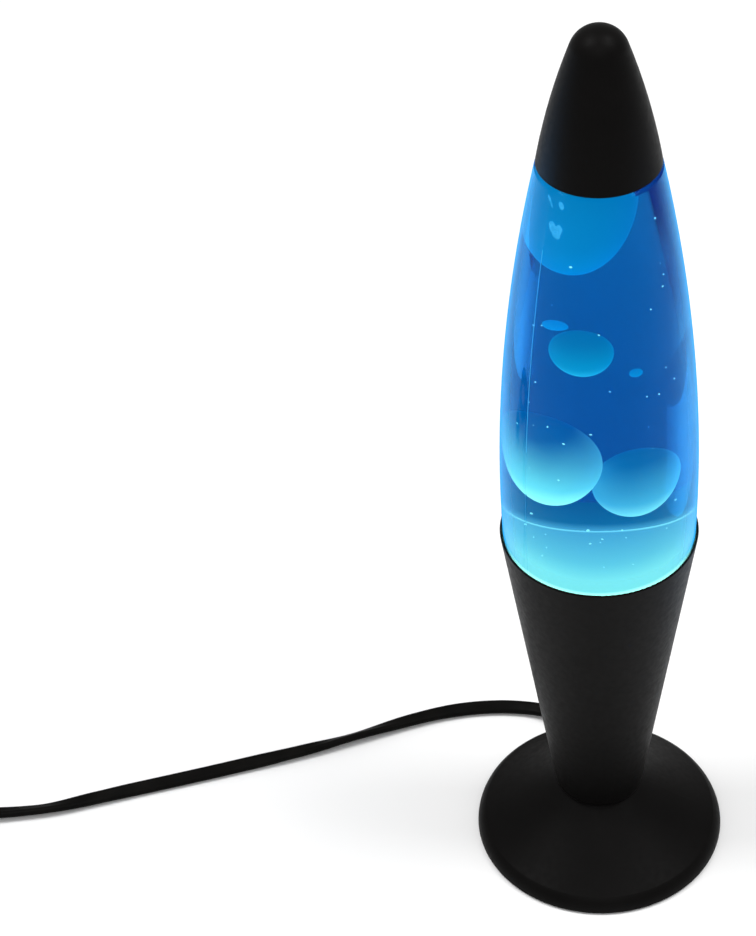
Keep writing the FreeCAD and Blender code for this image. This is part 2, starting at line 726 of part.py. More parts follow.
# The lead from the strain relief's tip to the switch, and from the switch to the coil.
ROUTE = [
    (-22.5, 60.2, 4.3),
    (-29, 62.6, 3.5),
    (-37, 63.9, REST),
    (-46, 64.2, REST),
    (-58, 63.2, REST),
    (-73, 60.2, REST),
    (-92, 53.4, REST),
    (-120, 41.2, REST),
    (-170, 24.1, REST),
    (-222, 8.0, REST),
    (-246, 0.0, REST),
    (-262, -2.4, REST),
]
SWITCH_AT = Vector(-313, -5.0, 0)
SWITCH_ENTRY = 4.8
SWITCH_SEAM = 6.6
ROCKER_TILT = 7.0
COIL_AT = Vector(-412, 32.0, 0)
COIL_INNER = 23.9
COIL_OUTER = 42.5
COIL_HEIGHT = 11.8
PLUG_AT = Vector(-366, 71.4, 0)
PLUG_ENTRY = 6.85


def make_cord():
    """The lead's three free stretches and the coil that holds its spare length."""
    radius = size("lead_width / 2")
    half = size("switch_length / 2")
    start = exit_line(TAIL_AT + size("relief_length"))
    near = Vector(SWITCH_AT.x + half, SWITCH_AT.y, SWITCH_ENTRY)
    far = Vector(SWITCH_AT.x - half, SWITCH_AT.y, SWITCH_ENTRY)
    route = [start] + [Vector(*p) for p in ROUTE] + [Vector(-274, -4.2, 4.0), near]
    node(feature("cord", routed(route, radius, report="cord")), "cord")
    lane = COIL_AT.y - COIL_OUTER + radius
    onward = [far, Vector(-352, -5.6, 4.2), Vector(-366, -6.8, REST)]
    onward += [Vector(-380, lane + 0.2, REST), Vector(COIL_AT.x + 19, lane, REST)]
    node(feature("cord_to_coil", routed(onward, radius, report="cord_to_coil")), "cord_to_coil")
    height = COIL_HEIGHT - radius
    lane = COIL_AT.y + COIL_OUTER - radius
    tail = [Vector(COIL_AT.x + 17, lane, height), Vector(COIL_AT.x + 26, lane + 0.2, height - 0.3)]
    tail += [Vector(COIL_AT.x + 36, PLUG_AT.y, PLUG_ENTRY + 0.6), Vector(PLUG_AT.x, PLUG_AT.y, PLUG_ENTRY)]
    node(feature("cord_to_plug", routed(tail, radius, report="cord_to_plug")), "cord_to_plug")
    ring = Part.makeCylinder(COIL_OUTER, COIL_HEIGHT, COIL_AT)
    ring = ring.cut(Part.makeCylinder(COIL_INNER, COIL_HEIGHT, COIL_AT))
    node(feature("cord_coil", ring.makeFillet(2.4, ring.Edges)), "cord_coil")


def rounded_bar(name, length, width, low, high, end):
    """A bar along X about the switch's centre, with rounded vertical corners."""
    bar = box(name + "_bar", length, width, low, high, SWITCH_AT.x, SWITCH_AT.y)
    rounded = doc.addObject("Part::Fillet", name)
    rounded.Base = bar
    doc.recompute()
    upright = [
        i
        for i, edge in enumerate(bar.Shape.Edges, start=1)
        if edge.Vertexes[0].Point.sub(edge.Vertexes[1].Point).cross(Z_AXIS).Length < 1e-6
    ]
    rounded.Edges = [(i, end, end) for i in upright]
    return rounded


def make_switch():
    """The in-line switch: two housing halves, two screws, contacts, and a rocker on its pivot."""
    seam = SWITCH_SEAM
    low = rounded_bar("switch_low", "switch_length", "switch_width", 0, seam, 9)
    high = rounded_bar("switch_high", "switch_length", "switch_width", seam, "switch_height - 1", 9)
    crown = rounded_bar("switch_brow", 42, 20, "switch_height - 1", "switch_height", 8)
    room = box("switch_room", 26, 15, 2, seam, SWITCH_AT.x, SWITCH_AT.y)
    lanes = box("switch_lanes", "switch_length", 3, 3.4, 6.0, SWITCH_AT.x, SWITCH_AT.y)
    holes = []
    posts = []
    for i, way in enumerate((-1, 1)):
        x = SWITCH_AT.x + 20 * way
        y = SWITCH_AT.y + 7 * way
        holes.append(cylinder(f"switch_hole{i}", 1.5, 0, 12, x, y))
        head = cylinder(f"switch_head{i}", 2.6, 0.3, 2.2, x, y)
        shank = cylinder(f"switch_shank{i}", 1.4, 2.2, 11.5, x, y)
        slot = box(f"switch_slot{i}", 4, 0.7, 0, 1.1, x, y)
        posts.append(cut(f"switch_screw{i}", join(f"switch_screw_blank{i}", head, shank), slot))
        holes.append(cylinder(f"switch_sink{i}", 2.7, 0, 2.2, x, y))
    node(cut("switch_lower_half", low, room, lanes, *holes[1::2], *holes[0::2]), "switch_lower_half")
    window = box("switch_window", 21, 11, seam, "switch_height", SWITCH_AT.x, SWITCH_AT.y)
    upper = cut("switch_upper_half", join("switch_top", high, crown), window, *holes[0::2])
    node(upper, "switch_upper_half")
    node(join("switch_screws", *posts), "switch_screws")


def make_contacts():
    """Two fixed contact strips in the switch's lower half, under the rocker's cams."""
    strips = []
    for i, way in enumerate((-1, 1)):
        x = SWITCH_AT.x + 6.5 * way
        base = box(f"strip_base{i}", 10, 4, 2.02, 2.6, x, SWITCH_AT.y)
        post = box(f"strip_post{i}", 1, 4, 2.6, SWITCH_SEAM - 1.2, x - 3 * way, SWITCH_AT.y)
        strips.append(join(f"strip{i}", base, post))
    node(join("switch_contacts", *strips), "switch_contacts")


def make_rocker():
    """The rocker, shown pressed towards the lamp, on a pivot across the switch."""
    long = 20.0
    wide = 10.2
    pivot = Vector(SWITCH_AT.x, SWITCH_AT.y, size("switch_height - 3.4"))
    rise = 5.0
    outline = [Vector(-long / 2, 0, -2.6), Vector(long / 2, 0, -2.6), Vector(long / 2, 0, rise)]
    outline += [Vector(0, 0, rise - 1.6), Vector(-long / 2, 0, rise)]
    face = Part.Face(Part.makePolygon(outline + outline[:1]))
    solid = face.extrude(Vector(0, wide, 0))
    solid.translate(Vector(0, -wide / 2, 0))
    keel = Part.makeCylinder(2.4, wide, Vector(0, -wide / 2, -2.4), Vector(0, 1, 0))
    solid = solid.fuse(keel)
    inside = Part.makeCylinder(long / 2 - 0.05, wide, Vector(0, -wide / 2, 0), Vector(0, 1, 0))
    solid = solid.common(inside.fuse(Part.makeBox(long, wide, 4, Vector(-long / 2, -wide / 2, 1))))
    solid = solid.removeSplitter()
    solid.Placement = FreeCAD.Placement(pivot, FreeCAD.Rotation(Vector(0, 1, 0), ROCKER_TILT))
    node(feature("switch_rocker", solid), "switch_rocker")


def make_plug():
    """A flat two-pin plug: a moulded body with a tapered tail, and two round pins."""
    long = size("plug_length")
    wide = size("plug_width")
    thick = size("plug_thick")
    middle = thick / 2
    outline = [(0, -5), (0, 5), (9, 9.5), (20, wide / 2), (long, wide / 2), (long, -wide / 2)]
    outline += [(20, -wide / 2), (9, -9.5)]
    points = [Vector(x, y, 0) for x, y in outline]
    body = Part.Face(Part.makePolygon(points + points[:1])).extrude(Vector(0, 0, thick))
    upright = [e for e in body.Edges if abs(e.tangentAt(e.FirstParameter).z) > 0.99]
    body = body.makeFillet(2.0, upright)
    level = [e for e in body.Edges if e.BoundBox.ZLength < 1e-6]
    body = body.makeFillet(1.8, level)
    pins = []
    for way in (-1, 1):
        across = way * size("pin_spacing") / 2
        shank = Part.makeCylinder(1.7, 6.3, Vector(long - 6, across, middle), Vector(1, 0, 0))
        root = Vector(long + 0.3, across, middle)
        shaft = Part.makeCylinder(size("pin_radius"), size("pin_length") - 0.3, root, Vector(1, 0, 0))
        shaft = shaft.makeFillet(0.9, [shaft.Edges[0]])
        pins.append(shank.fuse(shaft))
        body = body.cut(shank)
    body.translate(PLUG_AT)
    group = Part.makeCompound(pins)
    group.translate(PLUG_AT)
    node(feature("plug_body", body), "plug_body")
    node(feature("plug_pins", group), "plug_pins")


# ---------------------------------------------------------------- build, check and write


def check_and_write():
    """Refuse a failed object or an unsound shape, then write each node's STEP file."""
    doc.recompute()
    for thing in doc.Objects:
        if {"Invalid", "Error"} & set(thing.State):
            raise RuntimeError(f"{thing.Name} failed: {thing.State}")
    os.makedirs("parts", exist_ok=True)
    for thing in NODES:
        shape = thing.Shape
        if shape.isNull() or not shape.isValid() or not shape.Solids:
            raise RuntimeError(f"{thing.Label} has no valid solid")
        print(f"{thing.Label}: {len(shape.Solids)} solid(s), {shape.Volume:.1f} mm3")
        shape.exportStep(f"parts/{thing.Label}.step")


make_base_cone()
make_foot()
make_plate()
make_plate_screws()
make_pads()
make_tie()
make_holder()
make_bulb()
make_glass()
make_contents()
make_crown()
make_cap()
make_relief()
make_leads()
make_cord()
make_switch()
make_contacts()
make_rocker()
make_plug()
check_and_write()
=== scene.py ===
"""Looks of the lava lamp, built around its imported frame.

Metres, +Z up, the camera on the -Y side. Pieces that the frame already shapes well keep their CAD
mesh and get a better material; the glass, the liquid, the wax and the mains lead are made here.
"""

import math
import random

import bpy
import bmesh
from mathutils import Matrix, Vector, noise


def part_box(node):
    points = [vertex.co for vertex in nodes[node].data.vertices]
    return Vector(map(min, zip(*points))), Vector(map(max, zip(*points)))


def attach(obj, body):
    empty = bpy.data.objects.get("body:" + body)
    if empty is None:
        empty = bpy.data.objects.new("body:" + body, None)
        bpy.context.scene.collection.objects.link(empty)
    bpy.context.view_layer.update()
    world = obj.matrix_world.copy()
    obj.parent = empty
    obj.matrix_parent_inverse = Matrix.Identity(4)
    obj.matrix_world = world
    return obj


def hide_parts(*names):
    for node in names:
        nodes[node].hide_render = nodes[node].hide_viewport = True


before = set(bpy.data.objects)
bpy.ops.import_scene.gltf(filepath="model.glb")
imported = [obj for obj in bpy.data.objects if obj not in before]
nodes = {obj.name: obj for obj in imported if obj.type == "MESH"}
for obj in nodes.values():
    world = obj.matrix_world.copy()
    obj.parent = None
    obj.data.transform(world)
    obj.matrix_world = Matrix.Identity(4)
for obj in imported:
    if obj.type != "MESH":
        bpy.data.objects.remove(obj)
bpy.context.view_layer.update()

MM = 0.001


# ---------------------------------------------------------------- camera

CAMERA_AT = (0.0, -0.749, 0.8886)
CAMERA_DOWN = 42.16  # degrees below level
CAMERA_LEFT = 4.89  # degrees left of the lamp, about the camera's own upright
FOCAL_LENGTH = 99.3  # mm on a 36 mm frame


def make_camera():
    """The photographer's place: above the lamp, looking down, with the lamp right of centre."""
    data = bpy.data.cameras.new("camera")
    data.lens = FOCAL_LENGTH
    data.sensor_width = 36.0
    data.clip_start = 0.05
    camera = bpy.data.objects.new("camera", data)
    camera.location = CAMERA_AT
    tilt = Matrix.Rotation(math.radians(90 - CAMERA_DOWN), 3, "X")
    camera.rotation_euler = (tilt @ Matrix.Rotation(math.radians(CAMERA_LEFT), 3, "Y")).to_euler()
    bpy.context.scene.collection.objects.link(camera)
    bpy.context.scene.camera = camera


make_camera()


# ---------------------------------------------------------------- helpers


def add_mesh(name, mesh):
    """An object in the scene for a mesh or a bmesh."""
    if isinstance(mesh, bmesh.types.BMesh):
        data = bpy.data.meshes.new(name)
        mesh.normal_update()
        mesh.to_mesh(data)
        mesh.free()
        mesh = data
    piece = bpy.data.objects.new(name, mesh)
    bpy.context.scene.collection.objects.link(piece)
    return piece


def smooth(piece, angle=35):
    """Shade smooth, except across edges sharper than an angle."""
    piece.data.polygons.foreach_set("use_smooth", [True] * len(piece.data.polygons))
    piece.data.set_sharp_from_angle(angle=math.radians(angle))
    return piece


def grid_faces(bm, rows, closed=True):
    """Quads between neighbouring rows of vertices; a row of one vertex is a pole."""
    for low, high in zip(rows, rows[1:]):
        count = max(len(low), len(high))
        for i in range(count if closed else count - 1):
            j = (i + 1) % count
            corners = [low[i % len(low)], low[j % len(low)]]
            corners += [high[j % len(high)], high[i % len(high)]]
            unique = [v for k, v in enumerate(corners) if v not in corners[:k]]
            bm.faces.new(unique)


def lathe(name, outline, angles=192, bulge=None):
    """A surface turned about Z from an outline that starts and ends on the axis.

    bulge(row, angle) is how far a point of that outline row stands out at that angle.
    """
    if isinstance(angles, int):
        angles = [2 * math.pi * i / angles for i in range(angles)]
    bm = bmesh.new()
    rows = []
    for row, (r, z) in enumerate(outline):
        if r < 1e-7:
            rows.append([bm.verts.new((0, 0, z))])
            continue
        ring = []
        for angle in angles:
            reach = r + (bulge(row, angle) if bulge else 0.0)
            ring.append(bm.verts.new((reach * math.cos(angle), reach * math.sin(angle), z)))
        rows.append(ring)
    grid_faces(bm, rows)
    bmesh.ops.recalc_face_normals(bm, faces=bm.faces)
    return smooth(add_mesh(name, bm))


def arc(centre, radius, start, end, steps):
    """Points on an arc, angles in degrees, without its first point."""
    points = []
    for i in range(1, steps + 1):
        angle = math.radians(start + (end - start) * i / steps)
        points.append((centre[0] + radius * math.cos(angle), centre[1] + radius * math.sin(angle)))
    return points


# ---------------------------------------------------------------- materials


class Shader:
    """A material under construction: one Principled node and short ways to add to it."""

    def __init__(self, name, **values):
        self.material = bpy.data.materials.new(name)
        self.material.use_nodes = True
        self.tree = self.material.node_tree
        self.main = self.tree.nodes["Principled BSDF"]
        self.output = self.tree.nodes["Material Output"]
        for key, value in values.items():
            self.main.inputs[key.replace("_", " ")].default_value = value

    def node(self, kind, links=None, **settings):
        """Add a node; links maps its input names to sockets or plain values."""
        made = self.tree.nodes.new(kind)
        for key, value in settings.items():
            setattr(made, key, value)
        for key, value in (links or {}).items():
            socket = made.inputs[key]
            if isinstance(value, bpy.types.NodeSocket):
                self.tree.links.new(value, socket)
            else:
                socket.default_value = value
        return made

    def set(self, name, socket):
        self.tree.links.new(socket, self.main.inputs[name])

    def place(self, space="Object"):
        return self.node("ShaderNodeTexCoord").outputs[space]

    def noise(self, scale, detail=3.0, rough=0.5, stretch=(1, 1, 1)):
        """Noise in object space, about 0 to 1."""
        moved = self.node("ShaderNodeMapping", {"Vector": self.place(), "Scale": stretch})
        links = {"Vector": moved.outputs[0], "Scale": scale, "Detail": detail, "Roughness": rough}
        return self.node("ShaderNodeTexNoise", links).outputs["Fac"]

    def ramp(self, value, stops):
        """A colour ramp over a value; stops are (place, colour)."""
        made = self.node("ShaderNodeValToRGB", {"Fac": value})
        ramp = made.color_ramp
        while len(ramp.elements) < len(stops):
            ramp.elements.new(1.0)
        for element, (at, colour) in zip(ramp.elements, stops):
            element.position = at
            element.color = (*colour, 1.0) if len(colour) == 3 else colour
        return made.outputs["Color"]

    def span(self, value, low, high, to_low, to_high):
        """Map a value's range onto another, clamped."""
        links = {"Value": value, "From Min": low, "From Max": high}
        links.update({"To Min": to_low, "To Max": to_high})
        return self.node("ShaderNodeMapRange", links).outputs["Result"]

    def maths(self, operation, *values):
        """A maths node over sockets and plain values."""
        links = dict(enumerate(values))
        return self.node("ShaderNodeMath", links, operation=operation).outputs[0]

    def mix(self, share, first, second):
        """A colour between two, by a share."""
        links = {0: share, 6: first, 7: second}
        return self.node("ShaderNodeMix", links, data_type="RGBA").outputs[2]

    def bump(self, height, distance, strength=1.0):
        links = {"Height": height, "Distance": distance, "Strength": strength}
        self.set("Normal", self.node("ShaderNodeBump", links).outputs["Normal"])

    def mottle(self, dark, light, scale, detail=3.0, rough=0.5):
        """A base colour that wanders between two shades."""
        value = self.noise(scale, detail, rough)
        self.set("Base Color", self.ramp(value, [(0.3, dark), (0.7, light)]))

    def dull(self, low, high, scale, detail=3.0):
        """A roughness that wanders between two values."""
        self.set("Roughness", self.span(self.noise(scale, detail), 0.3, 0.7, low, high))

    def glow(self, colour):
        """Light given off, as a colour or a socket."""
        if isinstance(colour, bpy.types.NodeSocket):
            self.set("Emission Color", colour)
        else:
            self.main.inputs["Emission Color"].default_value = colour
        self.main.inputs["Emission Strength"].default_value = 1.0


def black_shell():
    """Satin black plastic: fine moulded grain, faint cloudy sheen."""
    s = Shader("black_shell", Specular_IOR_Level=0.05, IOR=1.46)
    s.mottle((0.0021, 0.0019, 0.0018), (0.0031, 0.0028, 0.0027), 38, 4, 0.6)
    s.dull(0.40, 0.50, 420, 2)
    s.bump(s.noise(2600, 2, 0.6), 0.00004, 0.35)
    return s.material


def black_moulding():
    """Matt black moulding of the holder, the switch and the plug."""
    s = Shader("black_moulding", Specular_IOR_Level=0.12)
    s.mottle((0.005, 0.005, 0.005), (0.009, 0.0085, 0.0085), 60)
    s.dull(0.46, 0.60, 300, 2)
    s.bump(s.noise(1900, 2, 0.7), 0.00005, 0.5)
    return s.material


def gloss_black():
    """The rocker's gloss black."""
    s = Shader("rocker", Specular_IOR_Level=0.45)
    s.mottle((0.012, 0.012, 0.012), (0.018, 0.018, 0.018), 80, 2)
    s.dull(0.16, 0.26, 240)
    return s.material


def lead_sheath():
    """Soft black PVC of the lead: faint draw lines and a dull sheen."""
    s = Shader("black_lead", Specular_IOR_Level=0.03)
    s.mottle((0.0022, 0.0022, 0.0020), (0.0045, 0.0042, 0.0038), 90)
    s.dull(0.34, 0.46, 160)
    s.bump(s.noise(900, 3, 0.6), 0.00006, 0.4)
    return s.material


def pad_rubber():
    """Soft matt rubber of the pads under the foot."""
    s = Shader("pad_rubber", Specular_IOR_Level=0.3, Roughness=0.8)
    s.mottle((0.022, 0.022, 0.021), (0.036, 0.035, 0.034), 200)
    s.bump(s.noise(1500, 3), 0.00008, 0.6)
    return s.material


def metal(name, dark, light, rough=(0.25, 0.4)):
    """Bare or plated metal with slight streaks and tarnish."""
    s = Shader(name, Metallic=1.0)
    streaks = s.noise(140, 4, 0.6)
    s.set("Base Color", s.ramp(streaks, [(0.25, dark), (0.75, light)]))
    s.set("Roughness", s.span(streaks, 0.3, 0.7, *rough))
    return s.material


def plastic(name, dark, light, rough=(0.3, 0.45)):
    """A plain coloured moulding with slight colour variation."""
    s = Shader(name, Specular_IOR_Level=0.45)
    s.mottle(dark, light, 120)
    s.dull(*rough, 260, 2)
    s.bump(s.noise(1200, 2), 0.00004, 0.4)
    return s.material


# Light bends by these factors where it enters the glass and the liquid: 1.37 in all.
GLASS_STEP = 1.15
LIQUID_STEP = 1.19
LIQUID_TAKES = (22.0, 13.5, 5.2)  # red, green and blue light taken in a metre, as exponents
GLASS_SHEEN = (0.25, 0.45, 0.8, 1.0)
GLASS_TINT = (0.008, 0.21, 0.47, 1.0)
# painted glow: an azure colour laid on the glass's edges
PAINTED_EDGE_GLOW = (0.006, 0.42, 0.92, 1.0)  # the wall carries the liquid's blue to its edge
CLEAR = (1.0, 1.0, 1.0, 1.0)


def bottle_glass():
    """Clear moulded glass, very slightly uneven, with a painted azure glow at its edges."""
    s = Shader("bottle_glass", IOR=GLASS_STEP, Transmission_Weight=1.0, Roughness=0.0)
    s.main.inputs["Base Color"].default_value = GLASS_TINT
    s.main.inputs["Specular Tint"].default_value = GLASS_SHEEN
    s.bump(s.noise(24, 2, 0.4, (1, 1, 0.35)), 0.00035, 0.35)
    # painted glow: an azure diffuse layer takes over towards the glass's edges, for the light the
    # wall carries there
    facing = s.node("ShaderNodeLayerWeight", {"Blend": 0.5}).outputs["Facing"]
    brink = s.span(facing, 0.42, 0.92, 0.0, 0.95)
    brink = s.maths("POWER", brink, 1.8)
    glow = s.node("ShaderNodeBsdfDiffuse", {"Color": PAINTED_EDGE_GLOW}).outputs[0]
    mixed = s.node("ShaderNodeMixShader", {0: brink, 1: s.main.outputs[0], 2: glow})
    s.tree.links.new(mixed.outputs[0], s.output.inputs["Surface"])
    return s.material


def seam_glass():
    """The mould seam: its slight roughness catches the light."""
    s = Shader("seam_glass", IOR=GLASS_STEP, Transmission_Weight=0.25, Roughness=0.4)
    s.main.inputs["Base Color"].default_value = (0.02, 0.34, 0.70, 1)
    return s.material


def wet_glass():
    """The bottle's wetted inner face: glass and liquid bend light alike, so it doesn't show."""
    s = Shader("wet_glass", IOR=1.0, Transmission_Weight=1.0, Roughness=0.0)
    s.main.inputs["Base Color"].default_value = CLEAR
    return s.material


def blue_liquid(name, bend):
    """Clear blue liquid: its colour deepens with the length of the way through it."""
    s = Shader(name, IOR=bend, Transmission_Weight=1.0, Roughness=0.0)
    s.main.inputs["Base Color"].default_value = CLEAR
    per_metre = max(LIQUID_TAKES) * 1.02
    colour = [1 - take / per_metre for take in LIQUID_TAKES]
    links = {"Color": (*colour, 1.0), "Density": per_metre}
    volume = s.node("ShaderNodeVolumeAbsorption", links)
    s.tree.links.new(volume.outputs["Volume"], s.output.inputs["Volume"])
    return s.material


WAX_DARK, WAX_LIGHT = (0.02, 0.10, 0.14), (0.03, 0.13, 0.17)


def wax(name, low, middle, high):
    """Wax with a painted glow for the bulb's light from below: bright underneath, dim on top."""
    s = Shader(name, Roughness=0.45, Specular_IOR_Level=0.3)
    up = s.node("ShaderNodeSeparateXYZ", {"Vector": s.place("Generated")}).outputs["Z"]
    cloud = s.noise(55, 3)
    height = s.maths("ADD", up, s.maths("MULTIPLY", cloud, 0.12))
    # painted glow: the bulb's light is painted into the wax, bright low on the blob and dim at its
    # top
    s.glow(s.ramp(height, [(0.08, low), (0.42, middle), (0.98, high)]))
    s.set("Base Color", s.ramp(cloud, [(0.3, WAX_DARK), (0.7, WAX_LIGHT)]))
    return s.material


# ---------------------------------------------------------------- the mains lead

LEAD_WIDTH = 6.2 * MM
LEAD_THICK = 3.5 * MM
CLEARANCE = 0.1 * MM  # the lead rests this far above the floor
EXIT = Vector((-0.01668, 0.0569, 0.0049))
EXIT_WAY = Vector((-math.cos(math.radians(30)), math.sin(math.radians(30)), 0))

# From the strain relief to the switch, as the lead's CAD route has it.
TO_SWITCH = [
    (-0.0225, 0.0602, 0.0043),
    (-0.0290, 0.0626, 0.0035),
    (-0.0370, 0.0639, 0.0031),
    (-0.0460, 0.0642, 0.0031),
    (-0.0580, 0.0632, 0.0031),
    (-0.0730, 0.0602, 0.0031),
    (-0.0920, 0.0534, 0.0031),
    (-0.1200, 0.0412, 0.0031),
    (-0.1700, 0.0241, 0.0031),
    (-0.2220, 0.0080, 0.0031),
    (-0.2460, 0.0000, 0.0031),
    (-0.2620, -0.0024, 0.0031),
    (-0.2740, -0.0042, 0.0040),
    (-0.2850, -0.0050, 0.0048),
]
TO_COIL = [
    (-0.3130, -0.0050, 0.0048),
    (-0.3410, -0.0050, 0.0048),
    (-0.3520, -0.0056, 0.0042),
    (-0.3660, -0.0068, 0.0031),
    (-0.3800, -0.0072, 0.0031),
]
TO_PLUG = [
    (-0.3950, 0.0714, 0.0087),
    (-0.3860, 0.0716, 0.0084),
    (-0.3760, 0.0714, 0.00745),
    (-0.3660, 0.0714, 0.00685),
    (-0.3620, 0.0714, 0.00685),
]
COIL_AT = Vector((-0.4120, 0.0320, 0.0))
COIL_LANES = (0.0394, 0.0332, 0.0270, 0.0272, 0.0334, 0.0394)
COIL_TURNS = 5.5
COIL_STEPS = 14  # points in each turn
LAYERS = (0.0031, 0.0087)


def coil_points():
    """The coil's turns: from the outer lane in to the inner, up a layer, and out again."""
    points = []
    count = round(COIL_TURNS * COIL_STEPS)
    for i in range(count + 1):
        turn = i / COIL_STEPS
        lane = min(int(turn), len(COIL_LANES) - 2)
        share = turn - lane
        blend = share * share * (3 - 2 * share)
        radius = COIL_LANES[lane] + (COIL_LANES[lane + 1] - COIL_LANES[lane]) * blend
        climb = min(max((turn - 2.3) / 0.6, 0.0), 1.0)
        height = LAYERS[0] + (LAYERS[1] - LAYERS[0]) * climb * climb * (3 - 2 * climb)
        angle = -math.pi / 2 - 2 * math.pi * turn
        wander = 0.0004 * math.sin(5.1 * turn) + 0.0003 * math.sin(11.7 * turn)
        x = COIL_AT.x + (radius + wander) * math.cos(angle)
        y = COIL_AT.y + (radius + wander) * math.sin(angle)
        points.append((x, y, height + 0.0002 * math.sin(7.3 * turn)))
    return points


def smooth_line(points, steps=8):
    """The NURBS line with these control points, as Blender draws it."""
    data = bpy.data.curves.new("lead_route", "CURVE")
    data.dimensions = "3D"
    data.resolution_u = steps
    spline = data.splines.new("NURBS")
    spline.points.add(len(points) - 1)
    for point, at in zip(spline.points, points):
        point.co = (*at, 1.0)
    spline.order_u = 3
    spline.use_endpoint_u = True
    route = bpy.data.objects.new("lead_route", data)
    bpy.context.scene.collection.objects.link(route)
    bpy.context.view_layer.update()
    graph = bpy.context.evaluated_depsgraph_get()
    line = bpy.data.meshes.new_from_object(route.evaluated_get(graph))
    path = [v.co.copy() for v in line.vertices]
    bpy.data.objects.remove(route)
    bpy.data.meshes.remove(line)
    return path


SQUARENESS = 0.72  # 1 makes the lead's section an ellipse, less makes it boxier
GROOVE_DEEP, GROOVE_WIDE = 0.16, 0.7 * MM


def lead_section(count=24):
    """The flat lead's section: two cores side by side, with a shallow groove between them."""
    points = []
    for i in range(count):
        cosine = math.cos(2 * math.pi * i / count)
        sine = math.sin(2 * math.pi * i / count)
        across = math.copysign(abs(cosine) ** SQUARENESS, cosine) * LEAD_WIDTH / 2
        up = math.copysign(abs(sine) ** SQUARENESS, sine) * LEAD_THICK / 2
        groove = 1 - GROOVE_DEEP * math.exp(-((across / GROOVE_WIDE) ** 2))
        points.append((across, up * groove))
    return points


# How the flat lead turns about its own line: (metres along it, degrees that its width leans).
LEAN = [
    (0.0, 12), (0.045, 32), (0.075, 0), (0.105, -42), (0.130, -5), (0.160, 38), (0.200, 42),
    (0.225, 8), (0.250, -25), (0.29, 0), (0.36, 0), (0.40, 60), (1.40, 75), (1.47, 0), (1.6, 0),
]


def lean_at(distance):
    """The lead's lean at a distance along it, easing from one value to the next."""
    for (a, low), (b, high) in zip(LEAN, LEAN[1:]):
        if distance <= b:
            share = max(0.0, (distance - a) / (b - a))
            return math.radians(low + (high - low) * share * share * (3 - 2 * share))
    return 0.0


def sweep(name, path, section, lean):
    """A closed tube of a section along a path; lean(distance) turns it about the path."""
    bm = bmesh.new()
    rows = []
    distance = 0.0
    for i, here in enumerate(path):
        before = path[max(i - 1, 0)]
        after = path[min(i + 1, len(path) - 1)]
        if i:
            distance += (here - before).length
        ahead = (after - before).normalized()
        side = ahead.cross(Vector((0, 0, 1))).normalized()
        up = side.cross(ahead)
        turn = lean(distance)
        wide = side * math.cos(turn) + up * math.sin(turn)
        thin = up * math.cos(turn) - side * math.sin(turn)
        ring = [here + wide * a + thin * b for a, b in section]
        lift = Vector((0, 0, max(0.0, CLEARANCE - min(p.z for p in ring))))
        rows.append([bm.verts.new(p + lift) for p in ring])
    grid_faces(bm, rows)
    bm.faces.new(rows[0])
    bm.faces.new(rows[-1])
    bmesh.ops.recalc_face_normals(bm, faces=bm.faces)
    return smooth(add_mesh(name, bm), 50)


def make_lead():
    """The lead in one length, from inside the strain relief to inside the plug."""
    start = EXIT - EXIT_WAY * 0.004
    route = [tuple(start), tuple(EXIT)] + TO_SWITCH + TO_COIL + coil_points() + TO_PLUG
    path = smooth_line(route)
    lead = sweep("mains_lead", path, lead_section(), lean_at)
    length = sum((b - a).length for a, b in zip(path, path[1:]))
    print(f"mains lead: {length:.3f} m, {len(route)} points")
    lead.data.materials.append(lead_sheath())
    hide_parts("cord", "cord_to_coil", "cord_to_plug", "cord_coil")
    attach(lead, "base")
    on_it = ["switch_lower_half", "switch_upper_half", "switch_screws", "switch_contacts"]
    on_it += ["switch_rocker", "plug_body", "plug_pins", "strain_relief"]


make_lead()


# ---------------------------------------------------------------- glass bottle and liquid

BELLY_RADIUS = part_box("glass_bottle")[1].x
BOTTLE_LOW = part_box("glass_bottle")[0].z
BOTTLE_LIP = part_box("glass_bottle")[1].z
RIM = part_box("base_cone")[1].z
CAP_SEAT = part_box("top_cap")[0].z - 0.1 * MM
CAP_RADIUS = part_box("top_cap")[1].x
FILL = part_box("liquid")[1].z
BELLY_HEIGHT = RIM + 24 * MM
BELLY_CURVE = 740 * MM
GLASS_WALL = 2.2 * MM
HEEL_RADIUS = 31 * MM
HEEL_TOP = BOTTLE_LOW + 4.5 * MM
NECK_RADIUS = 12.2 * MM
NECK_BORE = 9 * MM
LIQUID_GAP = 0.03 * MM


def belly(z, inset=0.0):
    """The bottle's radius at a height on its long side arc, less an inset."""
    reach = math.sqrt((BELLY_CURVE - inset) ** 2 - (z - BELLY_HEIGHT) ** 2)
    return BELLY_RADIUS - BELLY_CURVE + reach


def wall(z, inset=0.0):
    """The bottle's radius at a height: a plain cone down inside the base, then the side arc."""
    if z >= RIM:
        return belly(z, inset)
    share = (z - HEEL_TOP) / (RIM - HEEL_TOP)
    return HEEL_RADIUS - inset + (belly(RIM, inset) - HEEL_RADIUS + inset) * share


def side(inset, low, high, steps):
    """Points up the bottle's side between two heights."""
    return [(wall(z, inset), z) for z in (low + (high - low) * i / steps for i in range(steps + 1))]


def bottle_wall(inset):
    """One face of the bottle from the axis at its floor to its shoulder."""
    floor = BOTTLE_LOW + inset
    heel = HEEL_RADIUS - inset
    points = [(0, floor + 1.6 * MM), (8 * MM, floor + 1.5 * MM), (16 * MM, floor + 1.0 * MM)]
    points += [(22 * MM, floor + 0.25 * MM), (heel - 4.5 * MM, floor)]
    points += arc((heel - 4.3 * MM, floor + 4.3 * MM), 4.3 * MM, -88, -12, 8)
    points += side(inset, HEEL_TOP + 1.5 * MM, RIM - 0.6 * MM, 16)
    points += side(inset, RIM + 0.8 * MM, CAP_SEAT - 1.5 * MM, 76)
    return points


